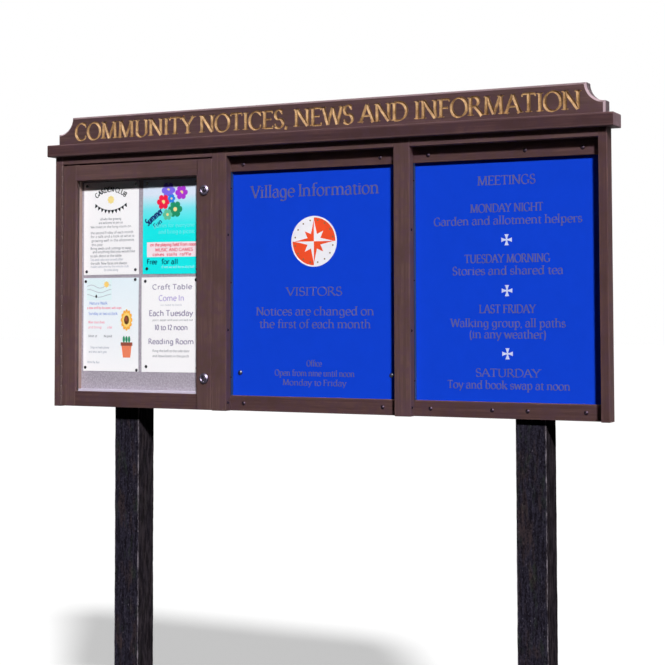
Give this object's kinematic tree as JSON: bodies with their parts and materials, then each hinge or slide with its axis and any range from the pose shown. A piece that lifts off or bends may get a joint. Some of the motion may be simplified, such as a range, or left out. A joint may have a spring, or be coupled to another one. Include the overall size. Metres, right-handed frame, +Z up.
{
  "type": "lockable notice board",
  "caption": "Outdoor notice board on two square posts: a glazed display bay with a hinged, lockable door, two recessed sign bays, a canopy rail and a header board with scalloped ends.",
  "frame": {"origin": "on the ground, under the middle of the outer box", "axes": "+Z up; the notices face -Y; +X is to the right of someone who reads them"},
  "size_m": [1.866, 0.1656, 2.176],
  "materials": {
    "brown_timber": "dark brown plastic timber, satin, with fine streaks along its length",
    "canopy_timber": "dark brown plastic timber, satin, a little darker than the frame",
    "black_timber": "near-black recycled plastic, coarse and speckled, paler along worn edges",
    "blue_sign": "royal blue sign face, semi-gloss",
    "grey_back": "plain grey backing sheet",
    "pale_lining": "pale beige lining, matt",
    "pinboard_felt": "pale grey-lilac pinboard cloth",
    "notice_paper": "white paper",
    "seal_rubber": "black foam seal",
    "lock_chrome": "bright chrome plate",
    "zinc_steel": "zinc-plated steel",
    "mill_aluminium": "mill-finish aluminium",
    "dark_cap": "near-black gloss plastic",
    "clear_glazing": "clear flat glazing"
  },
  "bodies": {
    "board": {"canopy_rail": "canopy_timber", "header_board": "canopy_timber", "left_stile": "brown_timber", "right_stile": "brown_timber", "display_mullion": "brown_timber", "right_mullion": "brown_timber", "display_top_rail": "brown_timber", "middle_top_rail": "brown_timber", "right_top_rail": "brown_timber", "display_back_board": "grey_back", "pinboard": "pinboard_felt", "display_bottom_rail": "brown_timber", "hinge_side_lining": "pale_lining", "lock_side_landing": "pale_lining", "lining_head": "pale_lining", "lining_ledge": "pale_lining", "door_seal": "seal_rubber", "upper_left_notice": "notice_paper", "upper_right_notice": "notice_paper", "lower_left_notice": "notice_paper", "lower_right_notice": "notice_paper", "middle_back_board": "grey_back", "middle_sign_panel": "blue_sign", "middle_top_strip": "brown_timber", "middle_bottom_strip": "brown_timber", "right_back_board": "grey_back", "right_sign_panel": "blue_sign", "right_top_strip": "brown_timber", "right_bottom_strip": "brown_timber", "left_panel_cap": "dark_cap", "right_panel_cap": "dark_cap", "hinge_frame_leaf": "mill_aluminium", "hinge_pin": "zinc_steel", "upper_keep": "zinc_steel", "lower_keep": "zinc_steel", "left_post": "black_timber", "right_post": "black_timber", "upper_hanging_rail": "mill_aluminium", "lower_hanging_rail": "mill_aluminium", "left_upper_post_bolt": "zinc_steel", "right_upper_post_bolt": "zinc_steel", "left_lower_post_bolt": "zinc_steel", "right_lower_post_bolt": "zinc_steel"},
    "door": {"door_hinge_stile": "brown_timber", "door_lock_stile": "brown_timber", "door_top_rail": "brown_timber", "door_bottom_rail": "brown_timber", "door_glazing": "clear_glazing", "glazing_retainer": "mill_aluminium", "hinge_door_leaf": "mill_aluminium", "upper_lock_body": "lock_chrome", "lower_lock_body": "lock_chrome", "upper_lock_nut": "zinc_steel", "lower_lock_nut": "zinc_steel"},
    "upper_lock_cylinder": {"upper_lock_plug": "lock_chrome", "upper_lock_cam": "zinc_steel"},
    "lower_lock_cylinder": {"lower_lock_plug": "lock_chrome", "lower_lock_cam": "zinc_steel"}
  },
  "joints": [
    {"name": "door_hinge", "type": "hinge", "parent": "board", "child": "door", "pos_m": [-0.88285, -0.07055, 1.6375], "axis": [0, 0, -1], "range_deg": [0, 170]},
    {"name": "upper_lock_turn", "type": "hinge", "parent": "door", "child": "upper_lock_cylinder", "pos_m": [-0.3545, -0.06675, 1.924], "axis": [0, -1, 0], "range_deg": [0, 90]},
    {"name": "lower_lock_turn", "type": "hinge", "parent": "door", "child": "lower_lock_cylinder", "pos_m": [-0.3545, -0.06675, 1.3475], "axis": [0, -1, 0], "range_deg": [0, 90]}
  ]
}
